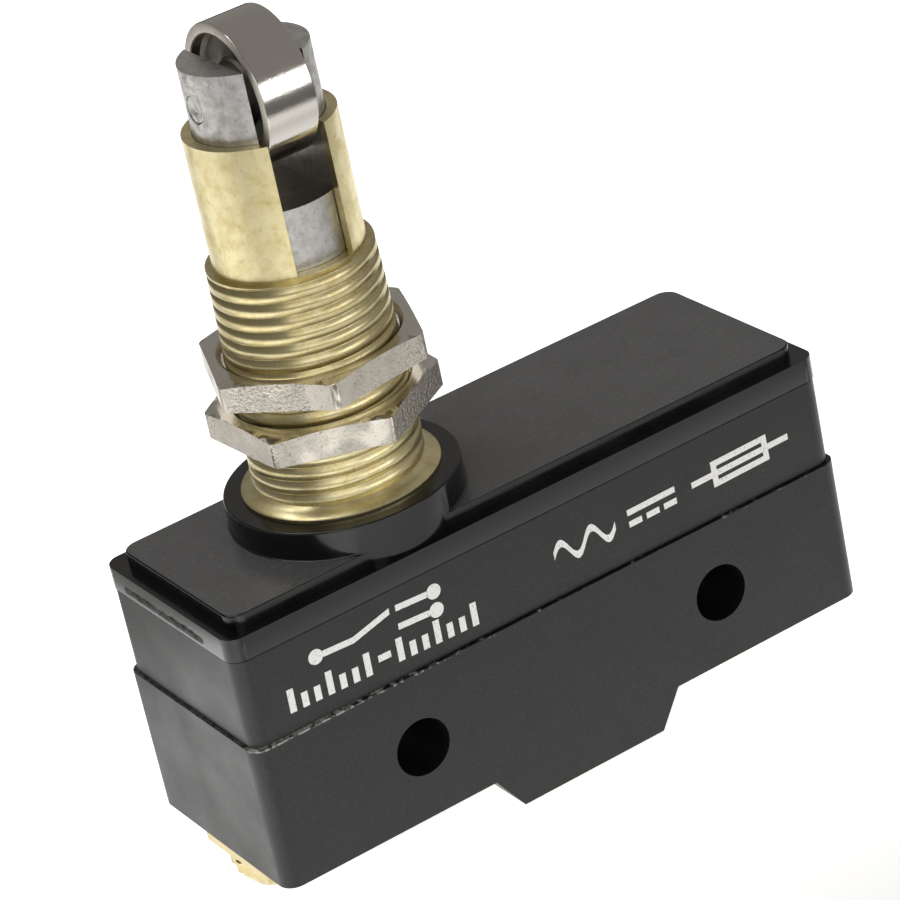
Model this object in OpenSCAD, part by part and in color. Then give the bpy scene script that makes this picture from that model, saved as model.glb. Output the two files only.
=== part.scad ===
// Panel mounting limit switch with a roller plunger: a snap action switch in a three-part case,
// worked by a forked plunger that slides in a threaded sleeve.
// Millimetres. The origin is midway between the two mounting holes, +X along the case towards the
// normally closed terminal, +Y across it and +Z up the sleeve.

/* [Case] */
// Length of the case
case_len = 49.2; // [47:0.1:52]
// Width of the case across the base
case_wid = 17.45; // [17:0.05:19]
// Distance from the middle of the case to the middle of the mounting holes
case_shift = 0.3; // [0:0.1:0.6]
// Radius of the upright corners
corner_r = 1.2; // [0.6:0.1:1.6]
// Height of the underside of the two ends
end_z = -5.4; // [-5.8:0.1:-5]
// Height of the underside of the middle lobe
lobe_z = -8.15; // [-8.6:0.05:-7.6]
// Half the width of the lobe at its foot
lobe_foot = 6.0; // [5:0.1:6.5]
// Half the width of the lobe where it meets the ends
lobe_root = 7.85; // [7.5:0.05:8.5]
// Height of the joint between base and middle housing
base_top = 5.5; // [5.3:0.1:6]
// Height of the joint between middle housing and top cap
housing_top = 12.1; // [11.9:0.1:12.5]
// Height of the rim around the top cap
rim_top = 13.9; // [13.6:0.1:14.1]
// Height of the raised panel of the top cap
cap_top = 14.9; // [14.6:0.1:15.2]
// How far the housing stands back from the base
housing_inset = 0.25; // [0.1:0.05:0.4]
// How far the cap stands back from the base
cap_inset = 0.2; // [0.1:0.05:0.4]
// How far the raised panel stands back from the rim
panel_inset = 1.0; // [0.6:0.1:1.4]

/* [Mounting] */
// Distance between the mounting holes
hole_pitch = 25.4; // [25:0.1:26]
// Diameter of the mounting holes
hole_d = 4.2; // [4:0.1:4.4]

/* [Sleeve] */
// Distance of the sleeve's axis from the middle of the mounting holes, to the left
sleeve_offset = 9.75; // [9:0.05:10]
// Crest diameter of the mounting thread
thread_d = 12; // [11.9:0.05:12.1]
// Height of the moulded flange that seats on the panel
flange_top = 17.0; // [16.6:0.1:17.4]
// Diameter of the moulded flange
flange_d = 16.4; // [16:0.1:16.8]
// Height of the top of the thread
thread_top = 33.8; // [33:0.1:34]
// Height of the sleeve's mouth
sleeve_top = 43.25; // [42:0.05:44]
// Outer diameter of the plain nose of the sleeve
nose_d = 10.35; // [10.2:0.05:10.6]
// Width of the roller slot through the nose
slot_w = 4.3; // [4.2:0.1:4.6]

/* [Nuts] */
// Width across the flats of a lock nut
nut_af = 14; // [13.8:0.1:16]
// Thickness of a lock nut
nut_t = 2.0; // [1.6:0.1:2.2]
// Height of the underside of the lower nut
nut_low_z = 21.8; // [21:0.1:22]
// Height of the underside of the upper nut
nut_high_z = 25.5; // [25.4:0.1:27]

/* [Plunger] */
// Diameter of the roller
roller_d = 10.1; // [9.6:0.1:10.2]
// Width of the roller
roller_w = 3.8; // [3.4:0.1:3.9]
// Height of the roller's axle
axle_z = 45.5; // [45.2:0.1:46]
// Diameter of the axle
axle_d = 2.0; // [1.8:0.1:2.4]
// Width of the fork in the plunger
fork_w = 4.5; // [4.4:0.1:4.8]
// Height of the floor of the fork
fork_floor = 38.35; // [37.5:0.05:39]
// Height of the tips of the fork
ear_top = 48.1; // [47.6:0.1:48.6]
// Full travel of the plunger
plunger_travel = 4.0; // [3:0.1:4]

/* [Hidden] */
$fn = 64;
eps = 0.01;
rest_gap = 0.05;   // between faces that rest on each other in different bodies
run_gap = 0.05;    // radial clearance of a running fit

// Case
x_left = -case_len / 2 - case_shift;
x_right = case_len / 2 - case_shift;
x_mid = (x_left + x_right) / 2;
wall = 1.75;
bay_floor = 3.6;
bay_x0 = x_left + 2;
bay_x1 = x_right - 2;
bay_hw = case_wid / 2 - wall;
bay_r = 0.8;
hole_x = hole_pitch / 2;

// Sleeve, from its foot in the cap to its mouth
sx = -sleeve_offset;
foot_z = 13.2;
sleeve_floor = 15.0;
collar_d = 13.8;
collar_t = 0.35;
collar_slope = 0.45;
collar_seat = flange_top - 0.4;
free_thread_z = nut_high_z + nut_t + 0.1;
lower_thread_d = thread_d - 0.4;
shoulder_z = 27.1;
low_bore_d = 9.8;
nose_bore_d = 8.9;
slot_floor = 34.0;

// Nuts
nut_bore_d = thread_d + 2 * run_gap;
nut_chamfer = 0.25;
nut_high_turn = 9.5;
nut_low_turn = 33.5;

// Plunger and its springs
stem_d = nose_bore_d - 2 * run_gap;
skirt_d = low_bore_d - 2 * run_gap;
skirt_top = shoulder_z - rest_gap;
skirt_bottom = 24.6;
spring_bore_d = 6.2;
spring_bore_top = 35.0;
rim_t = 0.45;
recess_depth = 0.95;
hub_d = 4.2;
return_wire = 0.6;
return_mean_d = 8.4;
return_turns = 5;
over_wire = 0.6;
over_mean_d = 5.0;
over_turns = 11;
coil_sides = 8;
coil_steps = 20;

// Pin plunger
pin_d = 3.5;
pin_stroke = plunger_travel / 10;
pin_guide_d = pin_d + 2 * run_gap;
pin_top = 16.0;
pin_collar_d = 5.4;
pin_collar_top = housing_top - rest_gap;
pin_collar_t = 0.8;
seat_t = 0.6;
seat_lip = 0.5;
seat_d = 6.0;

// Snap mechanism
blade_t = 0.2;
blade_z = 6.4;
blade_hw = 2.6;
blade_x1 = 15.2;
contact_x = 13.6;
contact_gap = 0.5;
contact_r = 1.6;
contact_h = 0.5;
touch = 0.02;
flex_gap = 0.1;
post_x0 = -21.4;
post_x1 = -17.8;
rivet_x = (post_x0 + post_x1) / 2;
window_x0 = -7.0;
window_x1 = 8.0;
window_hw = 1.2;
tongue_hw = 0.9;
tongue_x0 = -4.2;
tongue_rise = 1.5;
anchor_x = -5.0;
blade_drop = contact_gap * (-post_x1 + sx) / (contact_x - post_x1);
pin_foot = blade_z + blade_t + blade_drop + pin_stroke + rest_gap / 2;

// Terminals
strip_t = 0.8;
strip_z = 3.8;
strip_hw = 2.2;
pad_hw = 3.4;
pad_len = 7.4;
riser_hw = 1.6;
com_x = -20.5;
nc_x = 2 * x_mid - com_x;
no_x = 0;
pad_reach = pad_len / 2;
nc_strip_z = blade_z + blade_t + contact_h + touch + contact_h;
screw_r = 1.95;
screw_hole_r = screw_r + run_gap;
screw_pocket_r = screw_r + 0.4;
screw_reach = 3.4;
pocket_depth = 4.0;
washer_drop = 0.1;
washer_t = 0.9;
washer_half = 3.7;
lug_h = 0.6;
lug_t = 0.7;
lug_gap = 0.15;
head_r = 4.0;
head_h = 1.7;
head_edge = 0.7;
driver_slot_w = 0.9;
driver_slot_depth = 0.9;

// Case rivets
rivet_r = 0.9;
rivet_head_r = 1.6;
rivet_head_h = 0.7;
rivet_y = 6.6;
rivet_inset = 2.9;
rivet_top = 13.3;
rivet_post_r = 1.9;

// Upright block with rounded corners, centred on y = 0
module block(x0, x1, half, z0, z1, r) {
    translate([x0 + r, -half, z0])
        cube([x1 - x0 - 2 * r, 2 * half, z1 - z0]);
    translate([x0, -half + r, z0])
        cube([x1 - x0, 2 * half - 2 * r, z1 - z0]);
    for (x = [x0 + r, x1 - r], y = [-half + r, half - r])
        translate([x, y, z0])
            cylinder(r = r, h = z1 - z0);
}

// Square-edged strip, centred on y = 0
module strip(x0, x1, half, z0, z1) {
    translate([x0, -half, z0])
        cube([x1 - x0, 2 * half, z1 - z0]);
}

module rod(x, y, z0, z1, r) {
    translate([x, y, z0])
        cylinder(r = r, h = z1 - z0);
}

module mounting_holes() {
    for (x = [-hole_x, hole_x])
        translate([x, 0, 0])
            rotate([90, 0, 0])
                cylinder(d = hole_d, h = case_wid + 2, center = true);
}

module at_rivets() {
    for (x = [x_left + rivet_inset, x_right - rivet_inset], y = [-rivet_y, rivet_y])
        translate([x, y, 0])
            children();
}

// Side outline of the base, with the lobe under its middle
module base_outline() {
    polygon([
        [x_left, end_z], [-lobe_root, end_z], [-lobe_foot, lobe_z], [lobe_foot, lobe_z],
        [lobe_root, end_z], [x_right, end_z], [x_right, base_top], [x_left, base_top]
    ]);
}

module riser_slot(x, z0) {
    strip(x - eps, x + strip_t + eps, riser_hw + eps, z0 - 1, bay_floor + 1);
}

module screw_pocket(x, z0) {
    rod(x, 0, z0 - 1, z0 + pocket_depth, screw_pocket_r);
}

module base_case() {
    color("#2f2f31")
        difference() {
            intersection() {
                block(x_left, x_right, case_wid / 2, lobe_z, base_top, corner_r);
                translate([0, case_wid / 2 + 1, 0])
                    rotate([90, 0, 0])
                        linear_extrude(case_wid + 2)
                            base_outline();
            }
            block(bay_x0, bay_x1, bay_hw, bay_floor, base_top + 1, bay_r);
            mounting_holes();
            riser_slot(com_x + pad_reach - strip_t, end_z);
            riser_slot(nc_x - pad_reach, end_z);
            riser_slot(no_x + pad_reach - strip_t, lobe_z);
            screw_pocket(com_x, end_z);
            screw_pocket(nc_x, end_z);
            screw_pocket(no_x, lobe_z);
            at_rivets() {
                rod(0, 0, end_z - 1, base_top + 1, rivet_r);
                rod(0, 0, end_z - 1, end_z + rivet_head_h, rivet_head_r);
            }
        }
}

module middle_housing() {
    color("#333335")
        difference() {
            block(x_left + housing_inset, x_right - housing_inset, case_wid / 2 - housing_inset,
                base_top, housing_top, corner_r);
            difference() {
                block(bay_x0, bay_x1, bay_hw, base_top - 1, housing_top + 1, bay_r);
                at_rivets()
                    rod(0, 0, base_top - 2, housing_top + 2, rivet_post_r);
            }
            at_rivets()
                rod(0, 0, base_top - 1, housing_top + 1, rivet_r);
        }
}

module top_cap() {
    x0 = x_left + cap_inset;
    x1 = x_right - cap_inset;
    half = case_wid / 2 - cap_inset;
    color("#1d1d1f")
        difference() {
            union() {
                block(x0, x1, half, housing_top, rim_top, corner_r);
                block(x0 + panel_inset, x1 - panel_inset, half - panel_inset, rim_top, cap_top, corner_r);
                rod(sx, 0, rim_top, flange_top, flange_d / 2);
            }
            rod(sx, 0, foot_z, flange_top + 1, lower_thread_d / 2);
            rod(sx, 0, collar_seat, flange_top + 1, collar_d / 2);
            rod(sx, 0, housing_top - 1, foot_z + 1, pin_guide_d / 2);
            at_rivets()
                rod(0, 0, housing_top - 1, rivet_top + 0.1, rivet_r);
        }
}

module case_rivets() {
    color("#b59a4a")
        at_rivets() {
            rod(0, 0, end_z + rivet_head_h / 2, rivet_top, rivet_r);
            rod(0, 0, end_z, end_z + rivet_head_h, rivet_head_r);
        }
}

// Profile of the sleeve's wall, turned about its own axis
module sleeve_profile() {
    polygon([
        [pin_guide_d / 2 + 0.4, foot_z], [lower_thread_d / 2, foot_z], [lower_thread_d / 2, collar_seat],
        [collar_d / 2, collar_seat], [collar_d / 2, flange_top + collar_t],
        [lower_thread_d / 2, flange_top + collar_t + collar_slope], [lower_thread_d / 2, free_thread_z],
        [thread_d / 2, free_thread_z], [thread_d / 2, thread_top], [nose_d / 2, thread_top],
        [nose_d / 2, sleeve_top], [nose_bore_d / 2, sleeve_top], [nose_bore_d / 2, shoulder_z],
        [low_bore_d / 2, shoulder_z], [low_bore_d / 2, sleeve_floor],
        [pin_guide_d / 2 + 0.4, sleeve_floor]
    ]);
}

module threaded_sleeve() {
    color("#d9c878")
        difference() {
            translate([sx, 0, 0])
                rotate_extrude($fn = 96)
                    sleeve_profile();
            translate([sx - slot_w / 2, -nose_d, slot_floor])
                cube([slot_w, 2 * nose_d, sleeve_top - slot_floor + 1]);
        }
}

// Hexagon nut with its upper corners chamfered
module lock_nut(z0, turn) {
    r_in = nut_af / 2;
    r_out = r_in / cos(30);
    translate([sx, 0, z0])
        difference() {
            intersection() {
                rotate(turn)
                    cylinder(r = r_out, h = nut_t, $fn = 6);
                rotate_extrude()
                    polygon([
                        [0, 0], [r_out + eps, 0], [r_out + eps, nut_t - nut_chamfer],
                        [r_in, nut_t], [0, nut_t]
                    ]);
            }
            translate([0, 0, -1])
                cylinder(d = nut_bore_d, h = nut_t + 2);
        }
}

module lock_nut_upper() {
    color("#c9c6c0")
        lock_nut(nut_high_z, nut_high_turn);
}

module lock_nut_lower() {
    color("#c9c6c0")
        lock_nut(nut_low_z, nut_low_turn);
}

module roller_plunger() {
    color("#8f9092")
        difference() {
            union() {
                rod(sx, 0, skirt_bottom, ear_top, stem_d / 2);
                rod(sx, 0, skirt_bottom, skirt_top, skirt_d / 2);
            }
            rod(sx, 0, skirt_bottom - 1, spring_bore_top, spring_bore_d / 2);
            translate([sx - fork_w / 2, -stem_d, fork_floor])
                cube([fork_w, 2 * stem_d, ear_top - fork_floor + 1]);
            translate([sx - stem_d, 0, axle_z])
                rotate([0, 90, 0])
                    cylinder(d = axle_d, h = 2 * stem_d);
        }
}

module roller_pin() {
    color("#7d7d80")
        translate([sx - stem_d / 2 + 0.1, 0, axle_z])
            rotate([0, 90, 0])
                cylinder(d = axle_d, h = stem_d - 0.2);
}

// Drum profile: a thin rim, a web and a hub around the axle
module roller() {
    bore_r = axle_d / 2 + run_gap;
    rim_r = roller_d / 2 - rim_t;
    half = roller_w / 2;
    web = half - recess_depth;
    color("#a9a8a6")
        translate([sx, 0, axle_z])
            rotate([0, 90, 0])
                rotate_extrude($fn = 96)
                    polygon([
                        [bore_r, -half], [hub_d / 2, -half], [hub_d / 2, -web], [rim_r, -web],
                        [rim_r, -half], [roller_d / 2, -half], [roller_d / 2, half], [rim_r, half],
                        [rim_r, web], [hub_d / 2, web], [hub_d / 2, half], [bore_r, half]
                    ]);
}

// Point of a coil's wire section: u is the turn reached so far, v the way around the wire
function coil_point(mean_r, wire_r, z0, pitch, u, v) = [
    (mean_r + wire_r * cos(v)) * cos(360 * u),
    (mean_r + wire_r * cos(v)) * sin(360 * u),
    z0 + pitch * u + wire_r * sin(v)
];

// Coil spring between two flat faces, swept around the sleeve's axis
module coil(mean_d, wire, z0, z1, turns) {
    steps = turns * coil_steps;
    pitch = (z1 - z0 - wire) / turns;
    points = [
        for (i = [0:steps], j = [0:coil_sides - 1])
            coil_point(mean_d / 2, wire / 2, z0 + wire / 2, pitch, i / coil_steps, 360 * j / coil_sides)
    ];
    start = [[for (j = [0:coil_sides - 1]) j]];
    end = [[for (j = [coil_sides - 1:-1:0]) steps * coil_sides + j]];
    sides = [
        for (i = [0:steps - 1], j = [0:coil_sides - 1])
            let (a = i * coil_sides, b = a + coil_sides, k = (j + 1) % coil_sides)
                [a + j, b + j, b + k, a + k]
    ];
    translate([sx, 0, 0])
        polyhedron(points, concat(start, sides, end));
}

module return_spring() {
    color("#a8a8a8")
        coil(return_mean_d, return_wire, sleeve_floor + rest_gap, skirt_bottom - rest_gap, return_turns);
}

module overtravel_spring() {
    color("#b0b0b0")
        coil(over_mean_d, over_wire, pin_top + seat_t + rest_gap, spring_bore_top - rest_gap, over_turns);
}

// Dished washer on the pin that centres the overtravel spring
module spring_seat() {
    color("#c8b060")
        difference() {
            rod(sx, 0, pin_top, pin_top + seat_t + seat_lip, seat_d / 2 + 0.4);
            rod(sx, 0, pin_top + seat_t, pin_top + 2, seat_d / 2);
        }
}

module pin_plunger() {
    color("#8a2b22")
        union() {
            rod(sx, 0, pin_foot, pin_top, pin_d / 2);
            rod(sx, 0, pin_collar_top - pin_collar_t, pin_collar_top, pin_collar_d / 2);
        }
}

// Bowed tongue that joins the far end of the window to the anchor
module tongue() {
    span = window_x1 - tongue_x0;
    r = (span * span / 4 + tongue_rise * tongue_rise) / (2 * tongue_rise);
    half = asin(span / 2 / r);
    count = 10;
    arc = [for (i = [0:count]) 90 + half - 2 * half * i / count];
    outer = [for (a = arc) [(r + blade_t) * cos(a), (r + blade_t) * sin(a)]];
    inner = [for (i = [0:count]) [r * cos(arc[count - i]), r * sin(arc[count - i])]];
    translate([(window_x1 + tongue_x0) / 2, tongue_hw, blade_z - r + tongue_rise])
        rotate([90, 0, 0])
            linear_extrude(2 * tongue_hw)
                polygon(concat(outer, inner));
}

module snap_blade() {
    color("#c08a4e")
        difference() {
            union() {
                difference() {
                    strip(post_x0, blade_x1, blade_hw, blade_z, blade_z + blade_t);
                    strip(window_x0, window_x1 - blade_t, window_hw, blade_z - 1, blade_z + 1);
                }
                tongue();
            }
            rod(rivet_x, 0, blade_z - 1, blade_z + 1, rivet_r + flex_gap);
            rod(contact_x, 0, blade_z - 1, blade_z + 1, contact_r / 2);
        }
}

// Rivet head pairs on the blade and single heads on the fixed strips share one shape
module contact_pair(z0, z1) {
    rod(contact_x, 0, z0 - contact_h, z0, contact_r);
    rod(contact_x, 0, z0 - eps, z1 + eps, contact_r / 2);
    rod(contact_x, 0, z1, z1 + contact_h, contact_r);
}

module moving_contact() {
    color("#d6d6d2")
        contact_pair(blade_z, blade_z + blade_t);
}

module nc_contact() {
    color("#d6d6d2") {
        rod(contact_x, 0, nc_strip_z - contact_h, nc_strip_z, contact_r);
        rod(contact_x, 0, nc_strip_z - eps, nc_strip_z + strip_t, contact_r / 2);
    }
}

module no_contact() {
    top = strip_z + strip_t;
    face = blade_z - contact_h - contact_gap - rest_gap;
    color("#d6d6d2") {
        rod(contact_x, 0, top, face, contact_r);
        rod(contact_x, 0, strip_z, top + eps, contact_r / 2);
    }
}

// Terminal pad under the case with its threaded hole
module pad(x, z_top) {
    difference() {
        strip(x - pad_reach, x + pad_reach, pad_hw, z_top - strip_t, z_top);
        rod(x, 0, z_top - strip_t - 1, z_top + 1, screw_hole_r);
    }
}

module riser(x0, z0, z1) {
    strip(x0, x0 + strip_t, riser_hw, z0, z1);
}

module com_terminal() {
    riser_x = com_x + pad_reach - strip_t;
    color("#cdb25a")
        difference() {
            union() {
                pad(com_x, end_z);
                riser(riser_x, end_z - strip_t, strip_z + strip_t);
                strip(post_x0, anchor_x + 0.6, strip_hw, strip_z, strip_z + strip_t);
            }
            rod(rivet_x, 0, strip_z - 1, strip_z + 2, rivet_r);
        }
}

module nc_terminal() {
    riser_x = nc_x - pad_reach;
    color("#cdb25a")
        difference() {
            union() {
                pad(nc_x, end_z);
                riser(riser_x, end_z - strip_t, nc_strip_z + strip_t);
                strip(contact_x - strip_hw, riser_x + strip_t, strip_hw, nc_strip_z, nc_strip_z + strip_t);
            }
            rod(contact_x, 0, nc_strip_z - 1, nc_strip_z + 2, contact_r / 2);
        }
}

module no_terminal() {
    riser_x = no_x + pad_reach - strip_t;
    color("#cdb25a")
        difference() {
            union() {
                pad(no_x, lobe_z);
                riser(riser_x, lobe_z - strip_t, strip_z + strip_t);
                strip(riser_x, contact_x + strip_hw - 0.4, strip_hw, strip_z, strip_z + strip_t);
            }
            rod(contact_x, 0, strip_z - 1, strip_z + 2, contact_r / 2);
        }
}

// Bracket whose notch takes the thrust of the tongue
module blade_anchor() {
    foot_top = strip_z + strip_t + 0.4;
    color("#c8b060")
        union() {
            strip(anchor_x - 1.4, anchor_x + 0.6, tongue_hw, strip_z + strip_t, foot_top);
            strip(anchor_x - 0.4, anchor_x + 0.4, tongue_hw, foot_top - eps, blade_z - contact_gap);
        }
}

module blade_post() {
    color("#cdb25a")
        difference() {
            strip(post_x0, post_x1, strip_hw, strip_z + strip_t, blade_z);
            rod(rivet_x, 0, strip_z, blade_z + 1, rivet_r);
        }
}

module blade_rivet() {
    head_z = blade_z + blade_t + flex_gap;
    color("#b59a4a") {
        rod(rivet_x, 0, strip_z, head_z + eps, rivet_r);
        rod(rivet_x, 0, head_z, head_z + rivet_head_h, rivet_head_r);
    }
}

// Slotted pan head screw that hangs with its washer below a terminal pad
module terminal_screw(x, pad_top) {
    washer_top = pad_top - strip_t - washer_drop;
    head_top = washer_top - washer_t;
    color("#c9b468")
        difference() {
            union() {
                rod(x, 0, head_top - eps, pad_top + screw_reach, screw_r);
                translate([x, 0, head_top])
                    rotate_extrude()
                        polygon([
                            [0, 0], [head_r, 0], [head_r, head_edge - head_h], [head_r - head_edge, -head_h],
                            [0, -head_h]
                        ]);
            }
            strip(x - head_r - 1, x + head_r + 1, driver_slot_w / 2,
                head_top - head_h - 1, head_top - head_h + driver_slot_depth);
        }
}

// Square clamp washer with two lugs turned up to keep a bare wire in place
module terminal_washer(x, pad_top) {
    z1 = pad_top - strip_t - washer_drop;
    z0 = z1 - washer_t;
    lug_y = pad_hw + lug_gap;
    color("#d8c27a")
        difference() {
            union() {
                strip(x - washer_half, x + washer_half, lug_y + lug_t, z0, z1);
                for (y = [-lug_y - lug_t, lug_y])
                    translate([x - washer_half, y, z0])
                        cube([2 * washer_half, lug_t, washer_t + lug_h]);
            }
            rod(x, 0, z0 - 1, z1 + 1, screw_r);
        }
}

module com_screw() {
    terminal_screw(com_x, end_z);
}

module nc_screw() {
    terminal_screw(nc_x, end_z);
}

module no_screw() {
    terminal_screw(no_x, lobe_z);
}

module com_washer() {
    terminal_washer(com_x, end_z);
}

module nc_washer() {
    terminal_washer(nc_x, end_z);
}

module no_washer() {
    terminal_washer(no_x, lobe_z);
}

base_case();
middle_housing();
top_cap();
case_rivets();
threaded_sleeve();
lock_nut_upper();
lock_nut_lower();
roller_plunger();
roller_pin();
roller();
return_spring();
overtravel_spring();
spring_seat();
pin_plunger();
snap_blade();
blade_anchor();
blade_post();
blade_rivet();
moving_contact();
nc_contact();
no_contact();
com_terminal();
nc_terminal();
no_terminal();
com_screw();
nc_screw();
no_screw();
com_washer();
nc_washer();
no_washer();
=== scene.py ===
"""Panel mounting limit switch with a roller plunger: detailed pieces, finishes and studio for the frame.

Lengths inside the bmesh code are millimetres; a piece is scaled to metres when it is finished.
"""

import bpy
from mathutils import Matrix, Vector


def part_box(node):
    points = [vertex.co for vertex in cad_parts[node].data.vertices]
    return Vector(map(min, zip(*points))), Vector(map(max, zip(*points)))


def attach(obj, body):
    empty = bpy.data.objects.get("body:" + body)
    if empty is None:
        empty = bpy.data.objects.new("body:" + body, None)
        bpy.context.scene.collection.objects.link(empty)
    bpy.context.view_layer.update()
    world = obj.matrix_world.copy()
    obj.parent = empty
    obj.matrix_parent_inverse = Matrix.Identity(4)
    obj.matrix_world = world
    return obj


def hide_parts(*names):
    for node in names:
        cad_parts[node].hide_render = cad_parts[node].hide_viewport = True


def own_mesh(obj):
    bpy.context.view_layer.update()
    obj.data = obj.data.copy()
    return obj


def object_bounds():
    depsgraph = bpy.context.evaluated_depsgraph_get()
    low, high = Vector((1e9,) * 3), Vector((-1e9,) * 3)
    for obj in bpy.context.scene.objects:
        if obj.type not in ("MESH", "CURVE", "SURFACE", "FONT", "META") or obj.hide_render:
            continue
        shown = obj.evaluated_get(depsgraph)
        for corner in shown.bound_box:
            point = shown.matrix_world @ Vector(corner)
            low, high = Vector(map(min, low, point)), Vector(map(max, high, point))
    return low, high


bl_info = {
    "name": "Roller Plunger Limit Switch",
    "version": (1, 0, 0),
    "blender": (4, 5, 0),
    "location": "3D View > Sidebar > Limit Switch",
    "description": "Builds the case, threaded sleeve, roller plunger, terminals and studio of a limit switch",
    "category": "Object",
}

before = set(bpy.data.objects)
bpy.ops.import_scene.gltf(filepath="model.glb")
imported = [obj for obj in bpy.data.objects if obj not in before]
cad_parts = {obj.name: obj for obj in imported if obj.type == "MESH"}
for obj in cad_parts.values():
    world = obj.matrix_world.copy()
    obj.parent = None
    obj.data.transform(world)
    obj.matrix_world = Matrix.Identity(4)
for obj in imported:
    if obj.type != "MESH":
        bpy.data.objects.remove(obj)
cad_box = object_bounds()

from math import atan2, cos, pi, radians, sin, sqrt

import bmesh
import bpy
from bpy.props import FloatProperty, FloatVectorProperty, IntProperty, PointerProperty
from bpy.types import Operator, Panel, PropertyGroup
from mathutils import Matrix, Vector, noise

MM = 0.001


def linear(hex_colour):
    """Turns an sRGB hex colour into linear red, green and blue."""
    parts = [int(hex_colour[i:i + 2], 16) / 255 for i in (1, 3, 5)]
    return tuple(c / 12.92 if c <= 0.04045 else ((c + 0.055) / 1.055) ** 2.4 for c in parts)


def low(node):
    """Lowest corner of a CAD node in millimetres."""
    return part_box(node)[0] / MM


def high(node):
    """Highest corner of a CAD node in millimetres."""
    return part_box(node)[1] / MM


def middle(node):
    """Middle of a CAD node's box in millimetres."""
    return (low(node) + high(node)) / 2


AXIS = middle("roller_pin")


def length(name, description, millimetres, smallest=0.0, largest=100.0):
    """A length setting in metres, from its default in millimetres."""
    return FloatProperty(
        name=name, description=description, default=millimetres * MM, min=smallest * MM, max=largest * MM,
        unit="LENGTH", subtype="DISTANCE", precision=5,
    )


def colour(name, description, hex_colour):
    """A colour setting from its sRGB hex default."""
    return FloatVectorProperty(
        name=name, description=description, default=linear(hex_colour), size=3, min=0, max=1, subtype="COLOR",
    )


class SwitchSizes(PropertyGroup):
    """Edge rounds, thread form and wire sizes of the switch."""

    case_round: length("Case edge", "Radius of the moulded edges of base and housing", 0.22, 0.02, 0.6)
    cap_round: length("Cap edge", "Radius of the raised panel's top edge", 0.55, 0.05, 0.9)
    rim_round: length("Cap rim edge", "Radius of the cap's rim edge", 0.6, 0.05, 0.9)
    joint_gap: length("Joint gap", "Height of the dark gap between the mouldings", 0.07, 0.02, 0.4)
    joint_depth: length("Joint depth", "Depth of the gap between the mouldings", 0.4, 0.05, 0.8)
    flange_round: length("Flange edge", "Radius of the flange's top edge", 0.14, 0.02, 0.5)
    thread_pitch: length("Thread pitch", "Pitch of the mounting thread", 1.0, 0.5, 1.5)
    thread_depth: length("Thread depth", "Depth of the mounting thread", 0.2, 0.1, 0.6)
    thread_flat: FloatProperty(
        name="Crest flat", description="Share of the pitch that the thread's crest takes",
        default=0.66, min=0.1, max=0.8, subtype="FACTOR",
    )
    screw_pitch: length("Screw pitch", "Pitch of the terminal screws", 0.7, 0.3, 1.0)
    metal_round: length("Metal edge", "Radius of the broken edges of turned and pressed parts", 0.08, 0.01, 0.3)
    nut_chamfer: length("Nut bore chamfer", "Chamfer of a lock nut's threaded hole", 0.38, 0.05, 0.6)
    fork_round: length("Fork edge", "Radius of the plunger's fork edges", 0.22, 0.02, 0.4)
    wire_steps: IntProperty(name="Wire facets", description="Facets around a spring wire", default=12, min=6)


class SwitchColours(PropertyGroup):
    """Colours of the finishes."""

    case: colour("Case", "Moulded phenolic of the base and middle housing", "#111112")
    case_pale: colour("Case dust", "Lighter filler showing in the moulded phenolic", "#232221")
    cap: colour("Cap", "Glossy moulding of the cap", "#0C0C0D")
    # Painted light: the panel's grey is a paler copy of the cap's resin for the light its top face catches; its
    # specks are lifted with it.
    panel: colour("Cap panel", "Rubbed top panel of the cap", "#575758")
    panel_pale: colour("Cap panel dust", "Lighter dust on the cap's top panel", "#626160")
    gate: colour("Gate", "Torn moulding where the gate was broken off", "#3E3A36")
    ink: colour("Marking ink", "White pad printed marks", "#E9E8E4")
    brass: colour("Brass", "Turned brass of the sleeve", "#E6DBAE")
    brass_dark: colour("Brass tarnish", "Darker patches of the turned brass", "#C2AA62")
    strip: colour("Terminal brass", "Stamped brass of terminals and washers", "#CFC193")
    nickel: colour("Nickel", "Nickel plating of the lock nuts", "#D9D3C8")
    # Painted shade: the nut sides take a darker copy of the nickel.
    nickel_drawn_shaded: colour("Nickel sides", "Nickel plating over the drawn sides of the lock nuts", "#C6C0B5")
    sinter: colour("Sintered steel", "Pale grains of the sintered plunger", "#CFCDCA")
    sinter_dark: colour("Sintered pores", "Dark pores of the sintered plunger", "#7B7874")
    roller: colour("Roller", "Polished steel of the roller", "#CFCBC4")
    # Painted shade: a dark copy of the steel for the roller's recess and the fork floor under the roller.
    recess_shade_steel: colour("Roller inside", "Oily turned steel inside the roller", "#8A857C")
    spring: colour("Spring steel", "Drawn wire of the springs", "#9C9C9A")
    copper: colour("Blade", "Rolled beryllium copper of the snap blade", "#D09A66")
    silver: colour("Contacts", "Silver alloy of the contacts", "#E4E2DC")
    pin: colour("Pin plunger", "Moulded red phenolic of the pin plunger", "#7A2018")
    floor: colour("Floor", "Pale studio floor", "#F2F2F0")


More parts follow.
